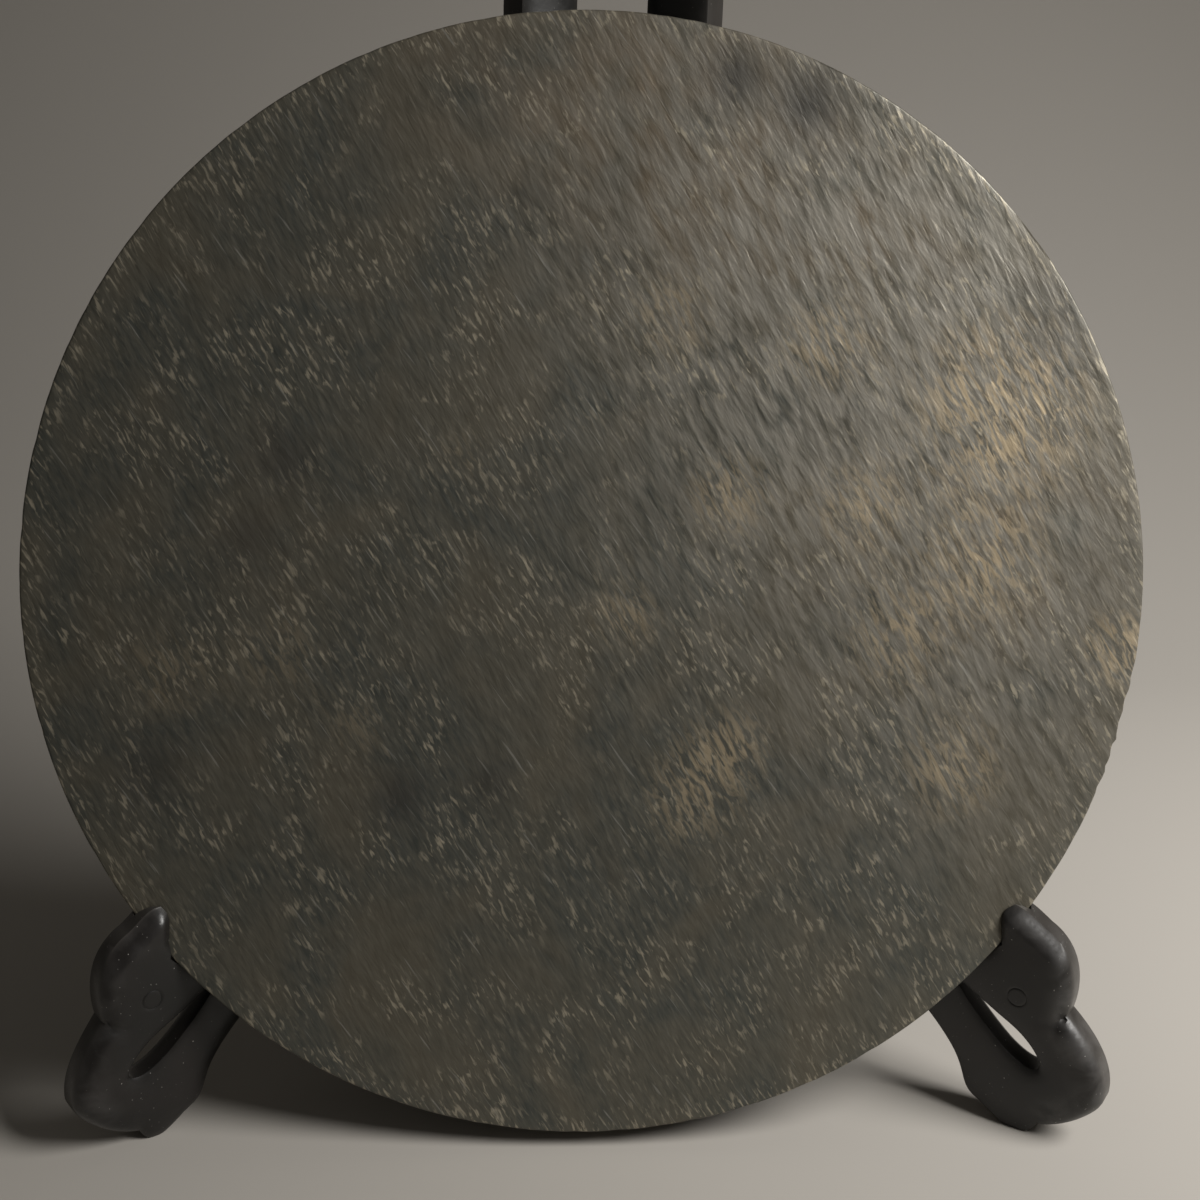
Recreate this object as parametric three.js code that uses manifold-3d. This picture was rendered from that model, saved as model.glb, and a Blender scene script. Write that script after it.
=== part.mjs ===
// A round cast bronze mirror leaning in a carved wooden stand of two crossed leaves.
// Millimetres, +Z up; the mirror faces -Y. The origin is the middle of the footprint, on the floor.
import * as THREE from "three";
import { mergeVertices } from "three/addons/utils/BufferGeometryUtils.js";
import Module from "manifold-3d";

const wasm = await Module();
wasm.setup();

// The mirror: a thin plate with a raised rim and a pierced knob on its back.
const mirrorRadius = 150;
const rimThickness = 5.5;
const plateThickness = 3;
const rimWidth = 9;
const edgeRounding = 0.8;
const knobRadius = 13;
const knobHeight = 9;
const cordHole = 3.4;
const mirrorFacets = 128;

// How the mirror leans in the stand, measured from the line where the two leaves cross.
const leanDegrees = 13.06;
const mirrorForward = 62.35;
const mirrorHeight = 151.4;
const mirrorLeftShift = 1.7;
const seatClearance = 0.4;

// The stand: two boards that open like a book, each half of the angle from the middle plane.
const halfOpening = THREE.MathUtils.degToRad(55.2);
const boardEdge = 9;
const faceSwell = 1.3;
const arrisWidth = 1.6;
const crossingHeight = 62;
const jointGap = 0.3;

// Heights (z) and reaches (u, from the crossing line towards the hook) of one leaf.
const footBack = 146.3;
const footFront = 151.3;
const bodyReach = 171.3;
const notchReach = 160.2;
const notchHeight = 38.9;
const headTop = 65.6;
const headBack = 140.8;
const seatLevel = 57.9;
const railFootReach = 130.3;
const railTopReach = 32.6;
const postBack = 14.2;
const postHeight = 319;
const tailReach = -16;
const heelFront = 46;
const archHeight = 45;

// The leaves are cut by hand and differ a little: how far the right one's foot and body reach out,
// how far its head reaches back, and how far both posts lean to the right, from the middle shape.
const bodySpread = 1.4;
const headSpread = 1.9;
const postLean = 2.6;

// Carved details on both faces of a leaf.
const eyeReach = 147;
const eyeHeight = 41.9;
const eyeRadius = 2.7;
const grooveRadius = 0.45;
const creaseRadius = 0.8;

const bronze = new THREE.MeshStandardMaterial({ color: 0x4b4a3e, roughness: 0.42, metalness: 0.85 });
const blackWood = new THREE.MeshStandardMaterial({ color: 0x161412, roughness: 0.38, metalness: 0 });

// A closed geometry as a solid that can be cut and joined.
function solidOf(geometry) {
  const bare = new THREE.BufferGeometry();
  bare.setAttribute("position", geometry.getAttribute("position"));
  if (geometry.index) bare.setIndex(geometry.index);
  const merged = mergeVertices(bare, 1e-4);
  const mesh = new wasm.Mesh({
    numProp: 3,
    vertProperties: new Float32Array(merged.attributes.position.array),
    triVerts: new Uint32Array(merged.index.array),
  });
  return new wasm.Manifold(mesh);
}

// The finished solid as a flat-shaded geometry.
function geometryOf(solid) {
  const mesh = solid.getMesh();
  const indexed = new THREE.BufferGeometry();
  indexed.setAttribute("position", new THREE.BufferAttribute(mesh.vertProperties, 3));
  indexed.setIndex(new THREE.BufferAttribute(mesh.triVerts, 1));
  const geometry = indexed.toNonIndexed();
  geometry.computeVertexNormals();
  return geometry;
}

function namedMesh(name, solid, material) {
  const mesh = new THREE.Mesh(geometryOf(solid), material);
  mesh.name = name;
  return mesh;
}

// Half of the mirror's section: out along the back over the knob and rim, and home over the front.
function mirrorProfile() {
  const back = rimThickness;
  const profile = [];
  for (let step = 0; step <= 6; step += 1) {
    const turn = (step / 6) * (Math.PI / 2);
    const reach = knobRadius * Math.sin(turn);
    profile.push(new THREE.Vector2(reach, plateThickness + knobHeight * Math.cos(turn)));
  }
  profile.push(new THREE.Vector2(mirrorRadius - rimWidth, plateThickness));
  profile.push(new THREE.Vector2(mirrorRadius - rimWidth + 2, back - 0.4));
  profile.push(new THREE.Vector2(mirrorRadius - rimWidth + 3, back));
  profile.push(new THREE.Vector2(mirrorRadius - edgeRounding, back));
  profile.push(new THREE.Vector2(mirrorRadius, back - edgeRounding));
  profile.push(new THREE.Vector2(mirrorRadius, edgeRounding));
  profile.push(new THREE.Vector2(mirrorRadius - edgeRounding, 0));
  profile.push(new THREE.Vector2(0, 0));
  return profile.reverse();
}

// Moves the mirror's own frame (front face at y = 0, thickness towards +y) to its leaning place.
function mirrorPlace() {
  const place = new THREE.Matrix4().makeRotationX(THREE.MathUtils.degToRad(-leanDegrees));
  return place.setPosition(-mirrorLeftShift, -mirrorForward, mirrorHeight);
}

function mirrorSolid() {
  const disc = new THREE.LatheGeometry(mirrorProfile(), mirrorFacets);
  const hole = new THREE.CylinderGeometry(cordHole / 2, cordHole / 2, 4 * knobRadius, 12);
  hole.rotateZ(Math.PI / 2);
  hole.translate(0, plateThickness + cordHole, 0);
  return solidOf(disc).subtract(solidOf(hole));
}

// A plain drum around the mirror's rim, from front to back, a little larger all round.
function rimDrum(front, back) {
  const radius = mirrorRadius + seatClearance;
  const drum = new THREE.CylinderGeometry(radius, radius, back - front, mirrorFacets);
  drum.translate(0, (front + back) / 2, 0);
  drum.applyMatrix4(mirrorPlace());
  return solidOf(drum);
}

// The frame of one leaf: x runs along the board to the hook, y is up, z crosses its thickness.
function leafPlace(side) {
  const along = new THREE.Vector3(side * Math.sin(halfOpening), -Math.cos(halfOpening), 0);
  const up = new THREE.Vector3(0, 0, 1);
  const across = new THREE.Vector3().crossVectors(along, up);
  return new THREE.Matrix4().makeBasis(along, up, across);
}

function leafOutline(side) {
  const foot = footFront + side * bodySpread;
  const body = bodyReach + side * bodySpread;
  const head = headBack - side * headSpread;
  const lean = side * postLean;
  const outline = new THREE.Shape();
  outline.moveTo(footBack, 0);
  outline.lineTo(foot, 0);
  outline.quadraticCurveTo(foot + 2, 0.6, foot + 3.4, 3.7);
  outline.bezierCurveTo(foot + 9.5, 5, body - 1.2, 10, body, 16);
  outline.bezierCurveTo(body + 0.8, 24.5, body - 5, 32.5, notchReach, notchHeight);
  outline.bezierCurveTo(162, 47.5, 160.8, 58, 151.4, 62.7);
  outline.bezierCurveTo(149.4, 64.5, head + 6, headTop, head + 3.5, headTop);
  outline.bezierCurveTo(head + 1.2, headTop, head, headTop - 2, head, headTop - 5);
  outline.lineTo(head, seatLevel);
  outline.lineTo(railFootReach, seatLevel);
  outline.lineTo(railTopReach + lean, 297);
  outline.lineTo(railTopReach + lean, postHeight - 12);
  const crown = postHeight + 3.5;
  outline.bezierCurveTo(railTopReach + lean, crown, postBack + lean, crown, postBack + lean, postHeight - 12);
  outline.lineTo(postBack + lean / 2, 172);
  outline.bezierCurveTo(postBack, 142, tailReach, 142, tailReach, 112);
  outline.lineTo(tailReach, 8);
  outline.quadraticCurveTo(tailReach, 0, tailReach + 8, 0);
  outline.lineTo(heelFront - 6, 0);
  outline.bezierCurveTo(heelFront + 2, 4, heelFront, archHeight, 84, archHeight);
  outline.bezierCurveTo(104, archHeight, 120.5, 31, 128.5, 21);
  outline.bezierCurveTo(135, 13, 132.5, 8.5, 138, 5.6);
  outline.quadraticCurveTo(143, 3, footBack, 0);
  outline.holes.push(hookSlot(), backOpening());
  return outline;
}

// The slim leaf-shaped slot that parts the arm from the strip under the seat.
function hookSlot() {
  const slot = new THREE.Path();
  slot.moveTo(103, 60.9);
  slot.quadraticCurveTo(118, 44, 134, 31.7);
  slot.quadraticCurveTo(143, 24.4, 150, 21.7);
  slot.quadraticCurveTo(155.5, 20.7, 154, 23.9);
  slot.quadraticCurveTo(149, 30.9, 139.8, 35.9);
  slot.quadraticCurveTo(118, 48.9, 103, 60.9);
  return slot;
}

// The three-cornered opening between the upright, the leaning rail and the arm.
function backOpening() {
  const opening = new THREE.Path();
  opening.moveTo(42, 71);
  opening.lineTo(86, 71);
  opening.quadraticCurveTo(102, 71, 96, 87);
  opening.lineTo(41, 223);
  opening.quadraticCurveTo(34, 237, 34, 221);
  opening.lineTo(34, 81);
  opening.quadraticCurveTo(34, 71, 42, 71);
  return opening;
}

function boardSolid(side) {
  const board = new THREE.ExtrudeGeometry(leafOutline(side), {
    depth: boardEdge,
    curveSegments: 7,
    bevelEnabled: true,
    bevelThickness: faceSwell,
    bevelSize: arrisWidth,
    bevelOffset: -arrisWidth,
    bevelSegments: 2,
  });
  board.translate(0, 0, -boardEdge / 2);
  return solidOf(board);
}

// The eye is a fine ring, cut into both faces of the head.
function eyeRing(face) {
  const ring = new THREE.TorusGeometry(eyeRadius, grooveRadius, 6, 20);
  ring.translate(eyeReach, eyeHeight, face * (boardEdge / 2 + faceSwell));
  return solidOf(ring);
}

// The crease under the head runs in from the notch and dies away upwards.
function headCrease(face) {
  const level = face * (boardEdge / 2 + faceSwell);
  const path = new THREE.QuadraticBezierCurve3(
    new THREE.Vector3(notchReach + 3, notchHeight + 3, level),
    new THREE.Vector3(notchReach - 1, notchHeight - 2, level),
    new THREE.Vector3(notchReach - 8, notchHeight - 2, level + face * creaseRadius),
  );
  const section = new THREE.Shape().absarc(0, 0, creaseRadius, 0, 2 * Math.PI);
  const groove = new THREE.ExtrudeGeometry(section, {
    extrudePath: path,
    steps: 8,
    curveSegments: 6,
    bevelEnabled: false,
  });
  return solidOf(groove);
}

// The leaves are halved into each other where they cross: one keeps its lower half, one its upper.
function crossingCut(side) {
  const width = boardEdge + 2 * faceSwell + 2 * jointGap;
  const length = 60;
  const height = 200;
  const cut = new THREE.BoxGeometry(length, height, width);
  const middle = side < 0 ? crossingHeight + height / 2 : crossingHeight - height / 2;
  const shift = side < 0 ? -jointGap / 2 : jointGap / 2;
  cut.translate(-length / 2 + 26, middle + shift, 0);
  cut.applyMatrix4(leafPlace(-side));
  return solidOf(cut);
}

// Behind the mirror the seat is cut square to the floor of the notch, so the disc drops in from above.
function seatCut(side) {
  const notch = new THREE.BoxGeometry(50, 60, 30);
  notch.translate(railFootReach + 25, notchHeight + 30, 0);
  notch.applyMatrix4(leafPlace(side));
  return rimDrum(-seatClearance, 26).intersect(solidOf(notch));
}

function leafSolid(side) {
  let leaf = boardSolid(side);
  for (const face of [-1, 1]) {
    leaf = leaf.subtract(eyeRing(face));
    leaf = leaf.subtract(headCrease(face));
  }
  leaf = leaf.transform(leafPlace(side).elements);
  leaf = leaf.subtract(seatCut(side));
  leaf = leaf.subtract(rimDrum(-seatClearance, rimThickness + seatClearance));
  return leaf.subtract(crossingCut(side));
}

const object = new THREE.Group();

const mirror = namedMesh("mirror", mirrorSolid(), bronze);
mirror.applyMatrix4(mirrorPlace());
object.add(mirror);
object.add(namedMesh("stand_leaf_left", leafSolid(-1), blackWood));
object.add(namedMesh("stand_leaf_right", leafSolid(1), blackWood));

// The footprint's middle goes to the origin.
const box = new THREE.Box3().setFromObject(object);
const middle = box.getCenter(new THREE.Vector3());
for (const piece of object.children) {
  piece.position.x -= middle.x;
  piece.position.y -= middle.y;
}

export default object;
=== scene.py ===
import math

import bpy
import numpy as np
from mathutils import Matrix, Vector, noise
from mathutils.geometry import delaunay_2d_cdt


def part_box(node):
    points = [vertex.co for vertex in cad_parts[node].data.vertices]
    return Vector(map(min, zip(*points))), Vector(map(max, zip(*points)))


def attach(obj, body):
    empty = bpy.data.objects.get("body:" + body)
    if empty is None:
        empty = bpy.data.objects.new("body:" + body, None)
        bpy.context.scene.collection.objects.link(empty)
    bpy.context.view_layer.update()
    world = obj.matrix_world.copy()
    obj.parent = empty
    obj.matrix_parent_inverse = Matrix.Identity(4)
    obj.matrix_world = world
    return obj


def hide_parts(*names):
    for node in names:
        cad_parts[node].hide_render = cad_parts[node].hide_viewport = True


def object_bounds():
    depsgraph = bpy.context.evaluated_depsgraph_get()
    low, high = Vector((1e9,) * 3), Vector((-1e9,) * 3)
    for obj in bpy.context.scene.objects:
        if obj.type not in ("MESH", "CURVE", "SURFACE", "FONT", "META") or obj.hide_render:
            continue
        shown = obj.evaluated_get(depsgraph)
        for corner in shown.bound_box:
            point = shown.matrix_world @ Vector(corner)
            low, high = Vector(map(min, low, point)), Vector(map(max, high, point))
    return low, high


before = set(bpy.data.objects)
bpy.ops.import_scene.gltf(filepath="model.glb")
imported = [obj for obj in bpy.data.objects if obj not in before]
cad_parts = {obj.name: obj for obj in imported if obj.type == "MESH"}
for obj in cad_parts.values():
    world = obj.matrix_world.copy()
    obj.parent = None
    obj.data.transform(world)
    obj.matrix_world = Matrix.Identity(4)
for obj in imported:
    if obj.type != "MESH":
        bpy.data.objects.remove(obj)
cad_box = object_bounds()

# The camera stands before the mirror, a little left of its middle and above it, looking down.
CAMERA_AT = Vector((-0.02654, -0.43584, 0.28567))
CAMERA_TURN = 0.0678
CAMERA_DIP = 0.3172
CAMERA_ROLL = 0.0303
FOCAL_LENGTH = 1652.27 / 1200 * 36

# The mirror, in metres.
MIRROR_LEAN = math.radians(13.06)
RIM_THICKNESS = 0.0055
PLATE_THICKNESS = 0.003
RIM_WIDTH = 0.009
KNOB_RADIUS = 0.013
KNOB_HEIGHT = 0.009
CORD_HOLE = 0.0034
MIRROR_STEPS = 600
STROKE_TILT = 30

# The stand's leaves. Their outlines are in millimetres: reach from the crossing line, and height.
MM = 0.001
HALF_OPENING = math.radians(55.2)
TAIL_DEPTH = 13.31 * MM
BOARD_EDGE = 4.5
ARRIS = 0.45
SEAT_CLEARANCE = 0.4 * MM
SWELL = 1.4
EYE_RADIUS = 2.7
NOTCH = (160.2, 38.9)


def mirror_frame():
    """The mirror's own frame, from the middle of its face: across, into its thickness, and up."""
    low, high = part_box("mirror")
    inward = Vector((0, math.cos(MIRROR_LEAN), -math.sin(MIRROR_LEAN)))
    upward = Vector((0, math.sin(MIRROR_LEAN), math.cos(MIRROR_LEAN)))
    centre = (low + high) / 2 - inward * RIM_THICKNESS / 2
    turn = Matrix((Vector((1, 0, 0)), inward, upward)).transposed().to_4x4()
    return Matrix.Translation(centre) @ turn, (high.x - low.x) / 2


MIRROR_PLACE, MIRROR_RADIUS = mirror_frame()


def leaf_frame(side):
    """One leaf's own frame: along the board to its hook, up, and across the board towards its inner face."""
    low_left, high_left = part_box("stand_leaf_left")
    low_right, high_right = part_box("stand_leaf_right")
    crossing = Vector(((high_left.x + low_right.x) / 2, high_right.y - TAIL_DEPTH, 0))
    along = Vector((side * math.sin(HALF_OPENING), -math.cos(HALF_OPENING), 0))
    upward = Vector((0, 0, 1))
    inward = along.cross(upward) * side
    turn = Matrix((along, upward, inward)).transposed().to_4x4()
    return Matrix.Translation(crossing) @ turn


# ---------------------------------------------------------------- meshes

def make_piece(name, points, faces):
    """A new object from points in the row frame, with its faces as the caller gives them."""
    mesh = bpy.data.meshes.new(name)
    mesh.from_pydata([tuple(p) for p in points], [], faces)
    mesh.validate()
    piece = bpy.data.objects.new(name, mesh)
    bpy.context.scene.collection.objects.link(piece)
    return piece


def cut(piece, *cutters):
    """Takes each cutter out of the piece and throws the cutters away."""
    for cutter in cutters:
        trim = piece.modifiers.new("cut", "BOOLEAN")
        trim.operation = "DIFFERENCE"
        trim.solver = "EXACT"
        trim.object = cutter
    bake_modifiers(piece)
    for cutter in cutters:
        bpy.data.objects.remove(cutter)


def bake_modifiers(piece):
    """Turns what the modifiers make of the piece into its own mesh."""
    graph = bpy.context.evaluated_depsgraph_get()
    finished = bpy.data.meshes.new_from_object(piece.evaluated_get(graph))
    piece.modifiers.clear()
    piece.data = finished


def shade(piece, sharp_angle):
    """Smooth all over, but for the edges that are sharper than an angle."""
    piece.data.shade_smooth()
    piece.data.set_sharp_from_angle(angle=math.radians(sharp_angle))


def lathe(profile, steps):
    """A closed turned body: the profile runs from the axis out and back to it, as (radius, depth)."""
    points, faces = [], []
    ring_starts = []
    for radius, depth in profile:
        ring_starts.append(len(points))
        if radius == 0:
            points.append((0, depth, 0))
            continue
        for step in range(steps):
            turn = 2 * math.pi * step / steps
            points.append((radius * math.cos(turn), depth, radius * math.sin(turn)))
    for inner, outer in zip(range(len(profile) - 1), range(1, len(profile))):
        a, b = ring_starts[inner], ring_starts[outer]
        for step in range(steps):
            after = (step + 1) % steps
            if profile[inner][0] == 0:
                faces.append((a, b + step, b + after))
            elif profile[outer][0] == 0:
                faces.append((a + step, b, a + after))
            else:
                faces.append((a + step, b + step, b + after, a + after))
    return points, faces


def drum(radius, front, back, steps=256):
    """A plain drum on the mirror's axis, between two depths."""
    points, faces = lathe([(0, front), (radius, front), (radius, back), (0, back)], steps)
    return [MIRROR_PLACE @ Vector(p) for p in points], faces


def block(place, low, high):
    """A box between two corners of a frame."""
    points = [
        place @ Vector((x, y, z))
        for x in (low[0], high[0])
        for y in (low[1], high[1])
        for z in (low[2], high[2])
    ]
    faces = [(0, 1, 3, 2), (4, 6, 7, 5), (0, 4, 5, 1), (2, 3, 7, 6), (0, 2, 6, 4), (1, 5, 7, 3)]
    if place.determinant() < 0:
        faces = [face[::-1] for face in faces]
    return points, faces


# ---------------------------------------------------------------- the mirror

def arc(centre, radius, start, end, steps):
    """Points of a round profile corner, as (radius, depth), with angles in quarter turns."""
    turns = [math.pi / 2 * (start + (end - start) * step / steps) for step in range(steps + 1)]
    return [(centre[0] + radius * math.cos(t), centre[1] + radius * math.sin(t)) for t in turns]


def mirror_profile():
    """Half of the mirror's section: out over the face, round the rim, and home over the back."""
    rounding = 0.0008
    edge = MIRROR_RADIUS - rounding
    inner_rim = MIRROR_RADIUS - RIM_WIDTH
    front = [(edge * math.sqrt(step / 80) * 0.35 + edge * step / 80 * 0.65, 0) for step in range(80)]
    corner = arc((edge, rounding), rounding, -1, 0, 5)
    side = [(MIRROR_RADIUS, 0.0018), (MIRROR_RADIUS, 0.0032)]
    back_corner = arc((edge, RIM_THICKNESS - rounding), rounding, 0, 1, 4)
    slope = [(inner_rim + 0.0034, RIM_THICKNESS), (inner_rim + 0.0027, RIM_THICKNESS - 0.0003)]
    slope += [(inner_rim + 0.0016, PLATE_THICKNESS + 0.0009), (inner_rim, PLATE_THICKNESS + 0.0001)]
    ridge = MIRROR_RADIUS * 0.62
    plate = [(inner_rim - 0.002, PLATE_THICKNESS), (0.116, PLATE_THICKNESS)]
    plate += [(ridge + 0.003, PLATE_THICKNESS), (ridge + 0.001, PLATE_THICKNESS + 0.0006)]
    plate += [(ridge - 0.001, PLATE_THICKNESS + 0.0006), (ridge - 0.003, PLATE_THICKNESS)]
    plate += [(radius, PLATE_THICKNESS) for radius in (0.08, 0.065, 0.05, 0.035, 0.024)]
    knob = [(KNOB_RADIUS + 0.004, PLATE_THICKNESS), (KNOB_RADIUS + 0.0012, PLATE_THICKNESS + 0.0002)]
    for step in range(1, 13):
        turn = math.pi / 2 * step / 12
        knob.append((KNOB_RADIUS * math.cos(turn), PLATE_THICKNESS + KNOB_HEIGHT * math.sin(turn)))
    knob[-1] = (0, knob[-1][1])
    return front + corner + side + back_corner + slope + plate + knob


# Where the face is struck or eaten away: across, up, size and depth, as fractions of the radius.
FACE_PITS = [
    (0.228, 0.892, 0.040, 0.0022), (0.361, 0.852, 0.062, 0.0026), (0.746, 0.612, 0.045, 0.0014),
    (-0.448, 0.417, 0.012, 0.0010), (-0.570, 0.410, 0.010, 0.0010), (-0.527, 0.369, 0.010, 0.0008),
    (-0.694, 0.330, 0.012, 0.0010), (-0.379, 0.820, 0.012, 0.0010), (-0.090, 0.605, 0.014, 0.0010),
]


def worn_edge(turn):
    """How far the rim is worn back at an angle round the face, in metres."""
    fine = noise.noise(Vector((math.cos(turn) * 26, math.sin(turn) * 26, 3.1)))
    broad = noise.noise(Vector((math.cos(turn) * 6, math.sin(turn) * 6, 7.7)))
    wear = max(0, fine) * 0.00028 + max(0, broad) * 0.00012
    eaten = math.exp(-(((turn + 0.255) / 0.11) ** 2))
    nibbles = noise.noise(Vector((turn * 60, 1.3, 0))) + 0.55
    return wear + eaten * max(0, nibbles) * 0.0011


def weather(point):
    """The mirror's worn surface: its edge eaten back, its face uneven and pitted."""
    x, depth, z = point
    radius = math.hypot(x, z)
    if radius > 0.97 * MIRROR_RADIUS:
        turn = math.atan2(z, x)
        near_edge = (radius / MIRROR_RADIUS - 0.97) / 0.03
        radius_kept = 1 - worn_edge(turn) * near_edge / radius
        x, z = x * radius_kept, z * radius_kept
    if depth < 0.0001:
        across, up = x / MIRROR_RADIUS, z / MIRROR_RADIUS
        for at_x, at_z, size, sink in FACE_PITS:
            gap = math.hypot(across - at_x, up - at_z) / size
            depth += sink * MIRROR_RADIUS * math.exp(-gap * gap)
        depth += 0.00005 * (1 + noise.noise(Vector((across * 9, up * 9, 0.5))))
    return Vector((x, depth, z))


def make_mirror():
    points, faces = lathe(mirror_profile(), MIRROR_STEPS)
    placed = [MIRROR_PLACE @ weather(p) for p in points]
    mirror = make_piece("bronze_mirror_disc", placed, faces)
    reach = 2 * KNOB_RADIUS + 0.004
    bore = [(0, -reach), (CORD_HOLE / 2, -reach), (CORD_HOLE / 2, reach), (0, reach)]
    hole_points, hole_faces = lathe(bore, 24)
    sideways = Matrix.Rotation(math.pi / 2, 4, "Z")
    seat = MIRROR_PLACE @ Matrix.Translation((0, PLATE_THICKNESS + CORD_HOLE, 0)) @ sideways
    cut(mirror, make_piece("cord_hole", [seat @ Vector(p) for p in hole_points], hole_faces))
    shade(mirror, 38)
    mark_patina(mirror)
    return mirror


# ---------------------------------------------------------------- the leaves

def bend(controls, share):
    """A point of the Bezier curve with these control points."""
    points = list(controls)
    while len(points) > 1:
        points = [
            (a[0] + (b[0] - a[0]) * share, a[1] + (b[1] - a[1]) * share)
            for a, b in zip(points, points[1:])
        ]
    return points[0]


def spacing_at(reach):
    """Fine mesh at the hook, which shows, and coarser behind the mirror."""
    return 0.8 if reach > 118 else 2.2


def loop(start, *stretches):
    """A closed outline. Each stretch lists the control points of one bend, and ends it."""
    outline = []
    for stretch in stretches:
        controls = [start, *stretch]
        length = sum(math.dist(a, b) for a, b in zip(controls, controls[1:]))
        count = max(1, round(length / spacing_at(max(c[0] for c in controls))))
        outline += [bend(controls, step / count) for step in range(count)]
        start = stretch[-1]
    return outline


def leaf_outline(side):
    """One leaf from the foot up round the hook, up the rail to the post, and home along the arch."""
    foot = 151.3 + side * 1.4
    body = 171.3 + side * 1.4
    head = 138 - side
    lean = side * 2.6
    return loop(
        (147.6, 0),
        [(foot - 1.2, 0)],
        [(foot + 1.2, 0), (foot + 2.0, 1.2), (foot + 3.4, 3.7)],
        [(foot + 9.5, 5), (body - 1.2, 10), (body, 16)],
        [(body + 0.8, 24.5), (body - 5, 32.5), NOTCH],
        [(162, 47.5), (160.8, 58), (151.4, 62.7)],
        [(147.5, 65.4), (head + 7, 67.6), (head + 4, 67.6)],
        [(head + 1.4, 67.6), (head, 65.6), (head, 62.6)],
        [(head, 55)],
        [(130.3, 55)],
        [(32.6 + lean, 285)],
        [(32.6 + lean, 307)],
        [(32.6 + lean, 322.2), (14.2 + lean, 322.2), (14.2 + lean, 307)],
        [(14.2 + lean / 2, 172)],
        [(14.2, 142), (-16, 142), (-16, 112)],
        [(-16, 8)],
        [(-16, 0), (-8, 0)],
        [(40, 0)],
        [(48, 4), (46, 45), (84, 45)],
        [(104, 45), (120.5, 31), (128.5, 21)],
        [(135, 13), (132.5, 8.5), (138, 5.6)],
        [(142, 3.2), (145, 0.2), (147.6, 0)],
    )


def hook_slot():
    """The slim slot that parts the arm from the strip under the seat."""
    return loop(
        (127.5, 43),
        [(133, 34.5), (142.6, 26)],
        [(147.5, 21.7), (151.5, 20.7)],
        [(156, 20.2), (154.6, 23.6)],
        [(151.5, 29.2), (144.5, 32.9)],
        [(137.5, 36.6), (127.5, 43)],
    )


def back_opening():
    """The three-cornered opening between the upright, the rail and the arm."""
    return loop(
        (42, 71),
        [(86, 71)],
        [(102, 71), (96, 87)],
        [(41, 223)],
        [(34, 237), (34, 221)],
        [(34, 81)],
        [(34, 71), (42, 71)],
    )


def area(outline):
    xs, zs = np.array(outline).T
    return 0.5 * float(np.sum(xs * np.roll(zs, -1) - np.roll(xs, -1) * zs))


def inset(outline, distance):
    """The outline moved into the wood by a small distance; the wood is on its left."""
    points = np.array(outline)
    chord = np.roll(points, -1, 0) - np.roll(points, 1, 0)
    chord /= np.maximum(np.linalg.norm(chord, axis=1, keepdims=True), 1e-9)
    return points + distance * np.stack([-chord[:, 1], chord[:, 0]], 1)


def inside(points, outlines):
    """Which points lie in the wood, by the even-odd rule over all the loops."""
    held = np.zeros(len(points), bool)
    for outline in outlines:
        ends = np.roll(outline, -1, 0)
        for (x0, z0), (x1, z1) in zip(outline, ends):
            crosses = (z0 > points[:, 1]) != (z1 > points[:, 1])
            if z0 != z1:
                at = x0 + (points[:, 1] - z0) * (x1 - x0) / (z1 - z0)
                held ^= crosses & (points[:, 0] < at)
    return held


def edge_gap(points, outlines):
    """Smooth distance to the nearest edges: near one edge it is the plain distance."""
    total = np.zeros(len(points))
    for outline in outlines:
        ends = np.roll(outline, -1, 0)
        middles = (outline + ends) / 2
        lengths = np.linalg.norm(ends - outline, axis=1)
        for middle, length in zip(middles, lengths):
            square = np.sum((points - middle) ** 2, axis=1) + 0.04
            total += length / square**1.5
    return np.sqrt(2 / total)


def face_grid(outlines, gap_to_edge):
    """Points spread over a leaf's face, closer together at the hook."""
    rows = []
    for low_reach, high_reach, pitch in ((-16, 116, 2.4), (116, 174, 0.95)):
        reaches = np.arange(low_reach, high_reach, pitch)
        heights = np.arange(0, 320, pitch)
        grid = np.stack(np.meshgrid(reaches, heights), -1)
        grid[1::2, :, 0] += pitch / 2
        flat = grid.reshape(-1, 2)
        flat = flat[inside(flat, outlines)]
        near = edge_gap(flat, outlines) > pitch * gap_to_edge
        rows.append(flat[near])
    return np.concatenate(rows)


def eye_centre(side):
    """The left leaf's eye is carved a little higher than the right's."""
    return (147.6, 43.2) if side < 0 else (146.7, 42.0)


def eye_rings(side):
    rings = []
    middle = eye_centre(side)
    for radius in (1.9, 2.3, 2.55, 2.7, 2.85, 3.1, 3.6):
        turns = np.arange(36) * 2 * math.pi / 36
        rings.append(np.stack([middle[0] + radius * np.cos(turns), middle[1] + radius * np.sin(turns)], 1))
    return np.concatenate(rings)


def crease_line():
    """The carved line that runs in under the head from the notch."""
    return np.array([bend((NOTCH, (158.6, 36.6), (153.2, 36.8)), step / 14) for step in range(15)])


def plain_gap(points, outline):
    """Straight distance from each point to the nearest part of one outline."""
    best = np.full(len(points), np.inf)
    for start, end in zip(outline, np.roll(outline, -1, 0)):
        chord = end - start
        share = np.clip((points - start) @ chord / max(chord @ chord, 1e-9), 0, 1)
        best = np.minimum(best, np.linalg.norm(points - start - share[:, None] * chord, axis=1))
    return best


def ease(values, low, high):
    share = np.clip((values - low) / (high - low), 0, 1)
    return share * share * (3 - 2 * share)


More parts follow.
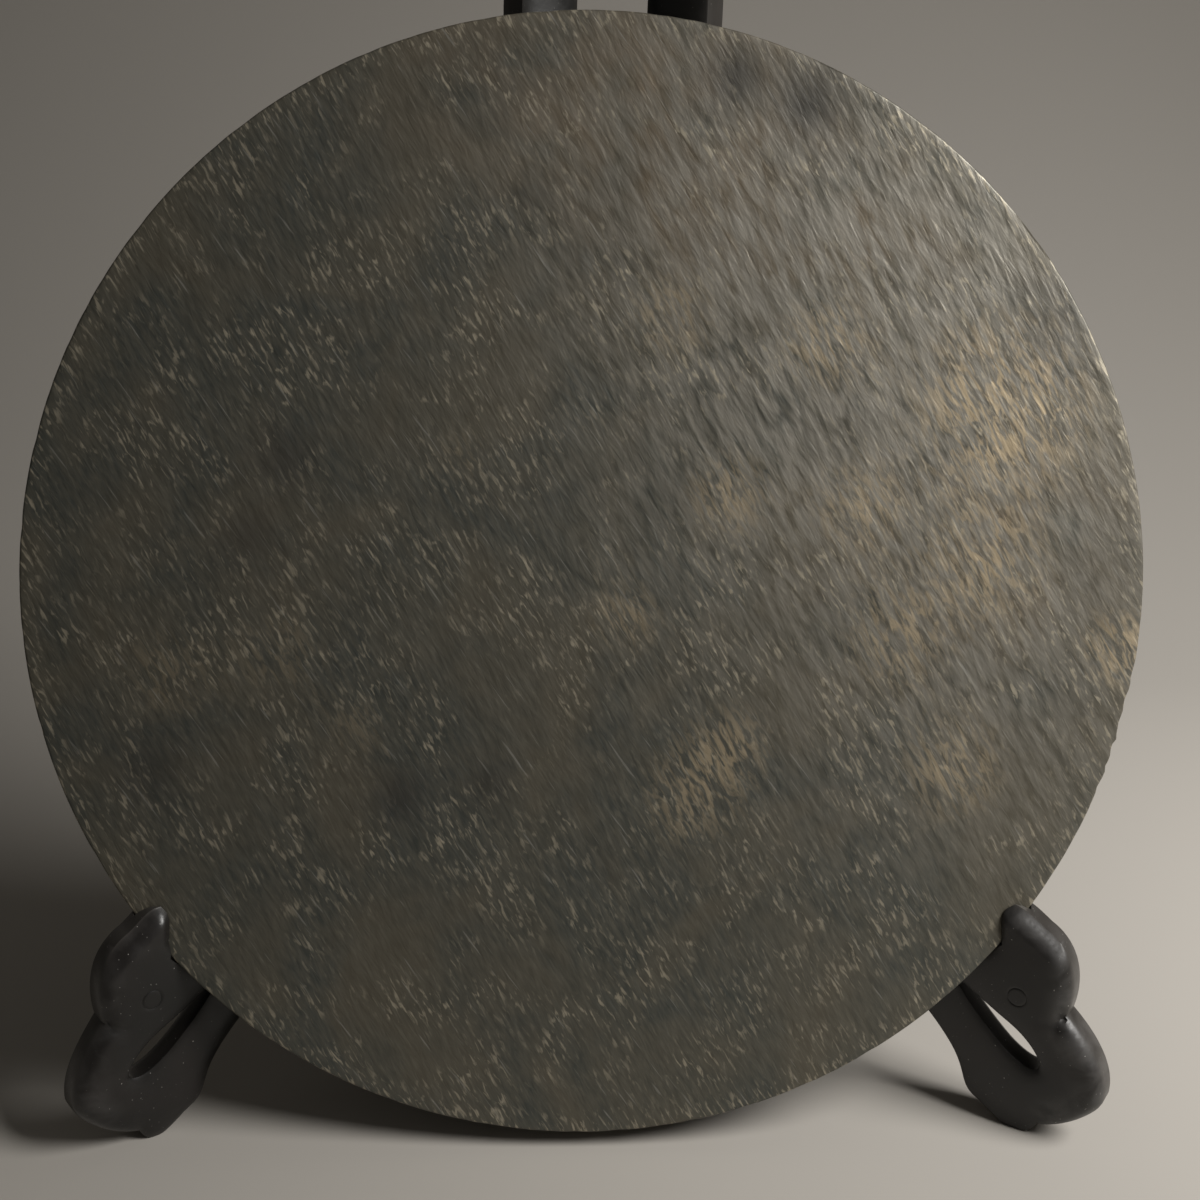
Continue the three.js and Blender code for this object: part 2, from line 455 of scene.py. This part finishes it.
def worked_edge(points, hole, face_side, side):
    """How deep and wide an edge is worked off, and how far it is a crisp slope, not a round."""
    reach, height = points.T
    if hole == 0 and face_side > 0:
        hook = ease(reach, 148, 156) * ease(height, 3, 12)
        crown = ease(height, 53, 58) * (1 - ease(reach, 155.5, 158.5)) * ease(reach, 132, 137)
        depth = 0.6 + 3.1 * hook
        return depth + crown * (3.1 - depth), depth + crown * (4.6 - depth), crown
    if hole == 1 and face_side < 0:
        depth = np.full(len(points), 4.4 if side < 0 else 2.8)
        return depth, depth, np.zeros(len(points))
    depth = np.full(len(points), 0.5)
    return depth, depth, np.zeros(len(points))


def worked_off(gap, points, hole, face_side, side):
    """How far a face has been cut back near one outline, in millimetres."""
    depth, width, crisp = worked_edge(points, hole, face_side, side)
    near = np.clip(1 - gap / width, 0, 1)
    return depth * ((1 - np.sqrt(1 - near**2)) * (1 - crisp) + near**1.6 * crisp)


def swelling(points, outlines, side):
    """How far a face stands out past the board's edge, in millimetres, before its edges are worked off."""
    gap = edge_gap(points, outlines)
    near = np.sin(np.minimum(gap / 5.0, 1) * math.pi / 2)
    broad = 1 - np.exp(-((gap / 6.5) ** 2))
    rise = SWELL * (0.55 * near + 0.45 * broad)
    line = crease_line()
    gaps = np.stack([np.hypot(*(points - target).T) for target in line])
    depth = 1.7 * (1 - gaps.argmin(0) / len(line))
    crease = gaps.min(0)
    rise -= depth * (0.6 * np.exp(-((crease / 1.8) ** 2)) + 0.4 * np.exp(-((crease / 0.6) ** 2)))
    middle = eye_centre(side)
    eye = np.abs(np.hypot(points[:, 0] - middle[0], points[:, 1] - middle[1]) - EYE_RADIUS)
    rise -= 0.18 * np.exp(-((eye / 0.22) ** 2))
    return rise


def leaf_shell(side):
    """One leaf as a closed shell: two swelling faces with worked edges, and the wall between them."""
    loops = [leaf_outline(side), hook_slot(), back_opening()]
    wanted = [1, -1, -1]
    loops = [o if area(o) * w > 0 else o[::-1] for o, w in zip(loops, wanted)]
    outlines = [np.array(o) for o in loops]
    borders = [inset(o, ARRIS) for o in outlines]
    grid = face_grid(borders, 0.62)
    middle = eye_centre(side)
    away = np.hypot(grid[:, 0] - middle[0], grid[:, 1] - middle[1])
    grid = grid[(away > 4.1) | (away < 1.3)]
    grid = np.concatenate([grid, eye_rings(side)])
    flat = np.concatenate(borders + [grid])
    edges = []
    start = 0
    for border in borders:
        count = len(border)
        edges += [(start + i, start + (i + 1) % count) for i in range(count)]
        start += count
    made = delaunay_2d_cdt([Vector(p) for p in flat], edges, [], 0, 1e-5)
    flat = np.array([tuple(p) for p in made[0]])
    triangles = np.array([tuple(t) for t in made[2]])
    kept = inside(flat[triangles].mean(1), borders)
    triangles = triangles[kept]
    lookup = {old: new for new, olds in enumerate(made[3]) for old in olds}
    rise = swelling(flat, outlines, side)
    is_border = np.zeros(len(flat), bool)
    for old in range(start):
        is_border[lookup[old]] = True
    rise[is_border] = 0
    gaps = [plain_gap(flat, outline) for outline in outlines]
    points, faces = [], []
    for face_side in (1, -1):
        base = len(points)
        worked = [worked_off(gap, flat, hole, face_side, side) for hole, gap in enumerate(gaps)]
        level = face_side * (BOARD_EDGE + rise - np.max(worked, axis=0))
        points += [(p[0], p[1], v) for p, v in zip(flat, level)]
        for a, b, c in triangles:
            faces.append((base + a, base + b, base + c) if face_side > 0 else (base + a, base + c, base + b))
    back_base = len(flat)
    first = 0
    for hole, (outline, border) in enumerate(zip(outlines, borders)):
        count = len(border)
        rings = [[lookup[first + i] for i in range(count)]]
        for offset, face_side in ((0.12, 1), (0, 1), (0, -1), (0.12, -1)):
            ring_start = len(points)
            moved = inset(outline, offset)
            worked = worked_off(offset, outline, hole, face_side, side)
            levels = face_side * (BOARD_EDGE - worked)
            points += [(p[0], p[1], v) for p, v in zip(moved, levels)]
            rings.append(list(range(ring_start, ring_start + count)))
        rings.append([back_base + lookup[first + i] for i in range(count)])
        for upper, lower in zip(rings, rings[1:]):
            for i in range(count):
                after = (i + 1) % count
                faces.append((upper[i], lower[i], lower[after], upper[after]))
        first += count
    return points, faces


def seat_cutters(side):
    """The mirror's rim is let into the leaf, and behind it the seat is open at the top."""
    place = leaf_frame(side) @ Matrix.Scale(MM, 4)
    radius = MIRROR_RADIUS + SEAT_CLEARANCE
    rim = make_piece("rim_seat", *drum(radius, -SEAT_CLEARANCE, RIM_THICKNESS + SEAT_CLEARANCE))
    entry = make_piece("seat_entry", *drum(radius, -SEAT_CLEARANCE, 0.026))
    column = make_piece("seat_column", *block(place, (130.3, NOTCH[1], -15), (180.3, NOTCH[1] + 60, 15)))
    meet = entry.modifiers.new("meet", "BOOLEAN")
    meet.operation = "INTERSECT"
    meet.solver = "EXACT"
    meet.object = column
    bake_modifiers(entry)
    bpy.data.objects.remove(column)
    return rim, entry


def crossing_cutter(side):
    """Where the leaves cross, one keeps its lower half and the other its upper half."""
    place = leaf_frame(-side) @ Matrix.Scale(MM, 4)
    low, high = (62.15, 262) if side < 0 else (-138, 61.85)
    width = BOARD_EDGE + SWELL + 0.3
    return make_piece("crossing", *block(place, (-34, low, -width), (26, high, width)))


def make_leaf(name, side):
    place = leaf_frame(side) @ Matrix.Scale(MM, 4)
    points, faces = leaf_shell(side)
    if place.determinant() < 0:
        faces = [face[::-1] for face in faces]
    leaf = make_piece(name, [place @ Vector(p) for p in points], faces)
    cut(leaf, *seat_cutters(side), crossing_cutter(side))
    shade(leaf, 32)
    mark_dust_and_painted_light(leaf, place.inverted(), side)
    return leaf


# ---------------------------------------------------------------- wear, dust and painted light, kept on the meshes

# Soft patches of the face: across, up, size and strength, in parts of the radius.
# Where the bronze shows through the patina.
BARE_BRONZE = [
    (0.73, 0.33, 0.15, 1.0), (0.41, 0.44, 0.09, 0.6), (0.13, 0.48, 0.09, 0.5), (0.24, 0.17, 0.08, 0.6),
    (0.47, 0.15, 0.09, 0.6), (0.71, 0.05, 0.11, 0.7), (0.06, -0.05, 0.07, 0.5), (0.55, -0.08, 0.10, 0.6),
    (0.18, -0.38, 0.10, 0.5), (0.25, -0.28, 0.08, 0.5), (0.66, -0.32, 0.10, 0.6), (0.96, -0.10, 0.07, 0.8),
    (-0.75, -0.16, 0.10, 0.35), (-0.55, -0.12, 0.09, 0.35), (-0.42, -0.25, 0.08, 0.3),
    (-0.23, 0.23, 0.07, 0.3),
]

# Brown, warmer stretches.
WARM_BROWN = [(0.12, 0.80, 0.26, 0.9), (0.45, 0.62, 0.2, 0.5), (0.72, 0.1, 0.3, 0.5), (-0.2, 0.9, 0.15, 0.4)]

# A pale bloom over the patina, laid mostly towards the upper right as painted light, lighter where the lamp
# falls.
PALE_BLOOM_AND_PAINTED_LIGHT = [(0.6, 0.42, 0.42, 0.9), (0.2, 0.75, 0.35, 0.55), (0.7, -0.15, 0.35, 0.6), (0.25, 0.2, 0.3, 0.35)]

# Dark smudges and struck spots.
DARK_SMUDGES = [
    (-0.545, 0.22, 0.05, 0.7), (-0.61, 0.085, 0.05, 0.6), (-0.34, -0.38, 0.05, 0.8),
    (-0.18, -0.35, 0.04, 0.6), (-0.78, -0.33, 0.06, 0.6), (0.228, 0.892, 0.05, 1.0),
    (0.361, 0.852, 0.06, 1.0), (0.82, 0.48, 0.10, 0.5),
]


def patches(across, up, spots):
    """The strength of soft round patches at a place on the face."""
    strength = 0
    for at_x, at_z, size, power in spots:
        strength += power * math.exp(-((across - at_x) ** 2 + (up - at_z) ** 2) / size**2)
    return min(1, strength)


def keep_on_mesh(piece, name, values):
    layer = piece.data.attributes.new(name, "FLOAT", "POINT")
    layer.data.foreach_set("value", np.array(values, dtype=np.float32))


def mark_patina(mirror):
    """Keeps the stretches of the face, the pale one partly painted light, and the worn rim, on the mirror's
    mesh.
    """
    back_to_face = MIRROR_PLACE.inverted()
    stretches = {"bare": BARE_BRONZE, "warm": WARM_BROWN, "pale": PALE_BLOOM_AND_PAINTED_LIGHT, "dark": DARK_SMUDGES}
    places = []
    for vertex in mirror.data.vertices:
        x, depth, z = back_to_face @ vertex.co
        places.append((x / MIRROR_RADIUS, z / MIRROR_RADIUS))
    for name, spots in stretches.items():
        keep_on_mesh(mirror, name, [patches(across, up, spots) for across, up in places])
    rim = [min(1, max(0, (math.hypot(across, up) - 0.955) / 0.03)) for across, up in places]
    keep_on_mesh(mirror, "rim", rim)


def mark_dust_and_painted_light(leaf, to_leaf, side):
    """Keeps the dust on the hook's outer curves and crown, laid stronger on the right leaf as painted light,
    and a painted highlight along its edges, on the leaf's mesh.
    """
    places = np.array([tuple(to_leaf @ vertex.co) for vertex in leaf.data.vertices])
    gap = plain_gap(places[:, :2], np.array(leaf_outline(side)))
    outer = ease(places[:, 0], 152, 160) * (1 - ease(gap, 4, 11))
    crown = ease(places[:, 1], 55, 60) * ease(places[:, 0], 136, 144) * (1 - ease(gap, 3, 9))
    # The right leaf's mark is stronger as painted light from the lamp at the right, over the dust.
    keep_on_mesh(leaf, "dust_and_painted_light", np.maximum(outer, 0.6 * crown) * (1.0 if side > 0 else 0.55))
    # A painted highlight along every edge, within 0.7 mm of the leaf's outline.
    keep_on_mesh(leaf, "painted_edge_highlight", 1 - ease(gap, 0.1, 0.7))


# ---------------------------------------------------------------- materials

def new_material(name):
    material = bpy.data.materials.new(name)
    material.use_nodes = True
    return material, material.node_tree.nodes["Principled BSDF"]


def node(tree, kind, **settings):
    made = tree.nodes.new(kind)
    for key, value in settings.items():
        setattr(made, key, value)
    return made


def make_uneven():
    """The shared group: cloudy noise, its range from low to high drawn out to start and end."""
    group = bpy.data.node_groups.new("uneven", "ShaderNodeTree")
    for name, kind, value in (
        ("Vector", "NodeSocketVector", None),
        ("Scale", "NodeSocketFloat", 5),
        ("Detail", "NodeSocketFloat", 2),
        ("Distortion", "NodeSocketFloat", 0),
        ("Low", "NodeSocketFloat", 0),
        ("High", "NodeSocketFloat", 1),
        ("Start", "NodeSocketFloat", 0),
        ("End", "NodeSocketFloat", 1),
    ):
        socket = group.interface.new_socket(name, in_out="INPUT", socket_type=kind)
        if value is not None:
            socket.default_value = value
    group.interface.new_socket("Mask", in_out="OUTPUT", socket_type="NodeSocketFloat")
    taken = group.nodes.new("NodeGroupInput").outputs
    given = group.nodes.new("NodeGroupOutput").inputs
    clouds = group.nodes.new("ShaderNodeTexNoise")
    for name in ("Vector", "Scale", "Detail", "Distortion"):
        group.links.new(taken[name], clouds.inputs[name])
    drawn_out = group.nodes.new("ShaderNodeMapRange")
    group.links.new(clouds.outputs["Fac"], drawn_out.inputs["Value"])
    for name, socket in (("Low", "From Min"), ("High", "From Max"), ("Start", "To Min"), ("End", "To Max")):
        group.links.new(taken[name], drawn_out.inputs[socket])
    group.links.new(drawn_out.outputs["Result"], given["Mask"])


def uneven(tree, vector, scale, detail, low=0, high=1, start=0, end=1, distortion=0):
    """One use of the shared uneven group."""
    made = node(tree, "ShaderNodeGroup", node_tree=bpy.data.node_groups["uneven"])
    values = {
        "Scale": scale, "Detail": detail, "Distortion": distortion,
        "Low": low, "High": high, "Start": start, "End": end,
    }
    for name, value in values.items():
        made.inputs[name].default_value = value
    tree.links.new(vector, made.inputs["Vector"])
    return made.outputs["Mask"]


def spread(tree, value, low, high, start=0, end=1):
    """A value whose range from low to high is drawn out to start and end."""
    made = node(tree, "ShaderNodeMapRange")
    made.inputs["From Min"].default_value = low
    made.inputs["From Max"].default_value = high
    made.inputs["To Min"].default_value = start
    made.inputs["To Max"].default_value = end
    tree.links.new(value, made.inputs["Value"])
    return made.outputs["Result"]


def combine(tree, operation, first, second):
    made = node(tree, "ShaderNodeMath", operation=operation)
    for socket, value in zip(made.inputs, (first, second)):
        if isinstance(value, (int, float)):
            socket.default_value = value
        else:
            tree.links.new(value, socket)
    return made.outputs["Value"]


def blend(tree, factor, first, second):
    made = node(tree, "ShaderNodeMix", data_type="RGBA")
    tree.links.new(factor, made.inputs["Factor"])
    for socket, value in ((made.inputs[6], first), (made.inputs[7], second)):
        if isinstance(value, tuple):
            socket.default_value = (*value, 1)
        else:
            tree.links.new(value, socket)
    return made.outputs[2]


def kept(tree, name):
    return node(tree, "ShaderNodeAttribute", attribute_name=name).outputs["Fac"]


def bump(tree, height, strength, distance, shader):
    made = node(tree, "ShaderNodeBump")
    made.inputs["Strength"].default_value = strength
    made.inputs["Distance"].default_value = distance
    tree.links.new(height, made.inputs["Height"])
    tree.links.new(made.outputs["Normal"], shader.inputs["Normal"])


def stretched(tree, vector, tilt, scale):
    """Coordinates turned in the face by a tilt and scaled, so that noise in them makes strokes."""
    turned = node(tree, "ShaderNodeVectorRotate", rotation_type="Y_AXIS")
    turned.inputs["Angle"].default_value = tilt
    tree.links.new(vector, turned.inputs["Vector"])
    scaled = node(tree, "ShaderNodeMapping")
    scaled.inputs["Scale"].default_value = scale
    tree.links.new(turned.outputs["Vector"], scaled.inputs["Vector"])
    return scaled.outputs["Vector"]


def bronze():
    """Old bronze: a mottled grey-green and brown patina with short slanting flecks where it is worn, and a
    pale tone that is partly painted light, lighter towards the upper right.
    """
    material, shader = new_material("patinated bronze")
    tree = material.node_tree
    place = node(tree, "ShaderNodeTexCoord").outputs["Object"]
    on_face = node(tree, "ShaderNodeMapping", vector_type="TEXTURE")
    on_face.inputs["Location"].default_value = MIRROR_PLACE.translation
    on_face.inputs["Rotation"].default_value = (-MIRROR_LEAN, 0, 0)
    on_face.inputs["Scale"].default_value = (MIRROR_RADIUS,) * 3
    tree.links.new(place, on_face.inputs["Vector"])
    face = on_face.outputs["Vector"]
    strokes = stretched(tree, face, math.radians(STROKE_TILT), (1, 1, 0.24))
    long_strokes = stretched(tree, face, math.radians(STROKE_TILT + 6), (1, 1, 0.06))
    bare, rim = kept(tree, "bare"), kept(tree, "rim")

    blotches = uneven(tree, face, 4.5, 6, 0.40, 0.62, distortion=0.6)
    ground = blend(tree, blotches, (0.060, 0.064, 0.056), (0.098, 0.088, 0.066))
    brushed = uneven(tree, strokes, 110, 5, 0.35, 0.68, 0, 0.6)
    ground = blend(tree, brushed, ground, (0.135, 0.125, 0.098))
    warm = combine(tree, "MULTIPLY", kept(tree, "warm"), uneven(tree, face, 9, 4, 0.3, 0.6))
    ground = blend(tree, warm, ground, (0.150, 0.118, 0.080))
    # A pale tone, partly patina bloom and partly painted light: laid mostly towards the upper right, where
    # the lamp falls.
    pale_streaks = uneven(tree, strokes, 55, 6, 0.36, 0.6, distortion=0.5)
    pale = combine(tree, "MULTIPLY", kept(tree, "pale"), pale_streaks)
    ground = blend(tree, pale, ground, (0.225, 0.210, 0.178))

    cloudy = uneven(tree, face, 7, 5, 0.44, 0.62, distortion=0.9)
    fleck_cover = combine(tree, "MAXIMUM", cloudy, combine(tree, "MAXIMUM", bare, rim))
    flecks = uneven(tree, strokes, 150, 3, 0.54, 0.66, distortion=0.5)
    flecks = combine(tree, "MULTIPLY", flecks, spread(tree, fleck_cover, 0, 1, 0.05, 0.9))
    ground = blend(tree, flecks, ground, (0.33, 0.295, 0.225))
    worms = uneven(tree, strokes, 80, 6, 0.46, 0.60, distortion=1.4)
    worms = combine(tree, "MULTIPLY", worms, spread(tree, bare, 0.15, 0.8))
    ground = blend(tree, worms, ground, (0.36, 0.29, 0.19))
    scratches = uneven(tree, long_strokes, 150, 2, 0.66, 0.72, 0, 0.45)
    ground = blend(tree, scratches, ground, (0.30, 0.29, 0.26))
    dark = combine(tree, "MULTIPLY", kept(tree, "dark"), 0.7)
    ground = blend(tree, dark, ground, (0.035, 0.034, 0.032))
    tree.links.new(ground, shader.inputs["Base Color"])
    tree.links.new(uneven(tree, strokes, 30, 4, 0.3, 0.7, 0.38, 0.56), shader.inputs["Roughness"])
    shader.inputs["Metallic"].default_value = 0.45
    bump(tree, uneven(tree, strokes, 95, 5, distortion=0.4), 0.5, 0.0004, shader)
    return material


def black_wood():
    """Close-grained wood stained near black, satin, with dust on its outer curves, painted light on the right
    leaf's outer curves, and a painted highlight along its edges.
    """
    material, shader = new_material("black wood")
    tree = material.node_tree
    place = node(tree, "ShaderNodeTexCoord").outputs["Object"]
    stain = uneven(tree, place, 35, 4, 0.35, 0.65)
    colour = blend(tree, stain, (0.0075, 0.0078, 0.0072), (0.014, 0.012, 0.011))
    # Dust on the hook's outer curves, made lighter on the right leaf as painted light.
    dust_and_light_patches = uneven(tree, place, 110, 5, 0.38, 0.62, distortion=0.5)
    dust_and_painted_light = combine(tree, "MULTIPLY", kept(tree, "dust_and_painted_light"), dust_and_light_patches)
    colour = blend(tree, combine(tree, "MULTIPLY", dust_and_painted_light, 0.30), colour, (0.16, 0.155, 0.15))
    # A painted highlight along the leaf's edges.
    painted_edge_highlight = combine(tree, "MULTIPLY", kept(tree, "painted_edge_highlight"), 0.25)
    colour = blend(tree, painted_edge_highlight, colour, (0.10, 0.09, 0.08))
    specks = uneven(tree, place, 1500, 1, 0.76, 0.80)
    colour = blend(tree, specks, colour, (0.30, 0.29, 0.27))
    tree.links.new(colour, shader.inputs["Base Color"])
    tree.links.new(uneven(tree, place, 140, 4, 0.3, 0.7, 0.30, 0.42), shader.inputs["Roughness"])
    bump(tree, uneven(tree, place, 420, 4), 0.18, 0.0003, shader)
    return material


def pale_floor():
    material, shader = new_material("pale floor")
    shader.inputs["Base Color"].default_value = (0.43, 0.405, 0.37, 1)
    shader.inputs["Roughness"].default_value = 0.85
    return material


# ---------------------------------------------------------------- the studio

def aim_camera():
    forward = Vector((
        math.sin(CAMERA_TURN) * math.cos(CAMERA_DIP),
        math.cos(CAMERA_TURN) * math.cos(CAMERA_DIP),
        -math.sin(CAMERA_DIP),
    ))
    level = Vector((math.cos(CAMERA_TURN), -math.sin(CAMERA_TURN), 0))
    upward = level.cross(forward)
    right = level * math.cos(CAMERA_ROLL) + upward * math.sin(CAMERA_ROLL)
    up = upward * math.cos(CAMERA_ROLL) - level * math.sin(CAMERA_ROLL)
    data = bpy.data.cameras.new("camera")
    data.lens = FOCAL_LENGTH
    data.sensor_width = 36
    data.clip_start = 0.01
    camera = bpy.data.objects.new("camera", data)
    turn = Matrix((right, up, -forward)).transposed().to_4x4()
    camera.matrix_world = Matrix.Translation(CAMERA_AT) @ turn
    bpy.context.scene.collection.objects.link(camera)
    bpy.context.scene.camera = camera


def soft_lamp(name, at, towards, size, power, colour):
    data = bpy.data.lights.new(name, "AREA")
    data.shape = "DISK"
    data.size = size
    data.energy = power
    data.color = colour
    data.spread = math.radians(125)
    lamp = bpy.data.objects.new(name, data)
    lamp.location = at
    lamp.rotation_euler = (Vector(towards) - Vector(at)).to_track_quat("-Z", "Y").to_euler()
    bpy.context.scene.collection.objects.link(lamp)


def make_studio():
    """A pale floor that sweeps up into the background, and one large soft lamp at the right."""
    near, half_width, bend_start, bend_radius, top = -1.6, 3.2, cad_box[1].y + 0.25, 0.6, 2.6
    profile = [(near, 0.0), (bend_start, 0.0)]
    for step in range(1, 25):
        turn = math.pi / 2 * step / 24
        profile.append((bend_start + bend_radius * math.sin(turn), bend_radius * (1 - math.cos(turn))))
    profile.append((bend_start + bend_radius, top))
    points = [(x, y, z) for y, z in profile for x in (-half_width, half_width)]
    faces = [(2 * i, 2 * i + 1, 2 * i + 3, 2 * i + 2) for i in range(len(profile) - 1)]
    floor = make_piece("floor", points, faces)
    floor.data.shade_smooth()
    floor.data.materials.append(pale_floor())
    world = bpy.data.worlds.new("studio")
    world.use_nodes = True
    world.node_tree.nodes["Background"].inputs["Color"].default_value = (0.075, 0.072, 0.066, 1)
    bpy.context.scene.world = world
    soft_lamp("window", (0.6, -0.3, 0.62), (0.33, 0.1, 0.06), 0.45, 5.1, (1, 0.98, 0.95))
    bpy.context.scene.view_settings.view_transform = "Standard"


def finish_piece(piece, node, material):
    piece.data.materials.clear()
    piece.data.materials.append(material)
    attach(piece, "root")
    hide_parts(node)


aim_camera()
make_studio()
make_uneven()
finish_piece(make_mirror(), "mirror", bronze())
wood = black_wood()
finish_piece(make_leaf("carved_leaf_left", -1), "stand_leaf_left", wood)
finish_piece(make_leaf("carved_leaf_right", 1), "stand_leaf_right", wood)
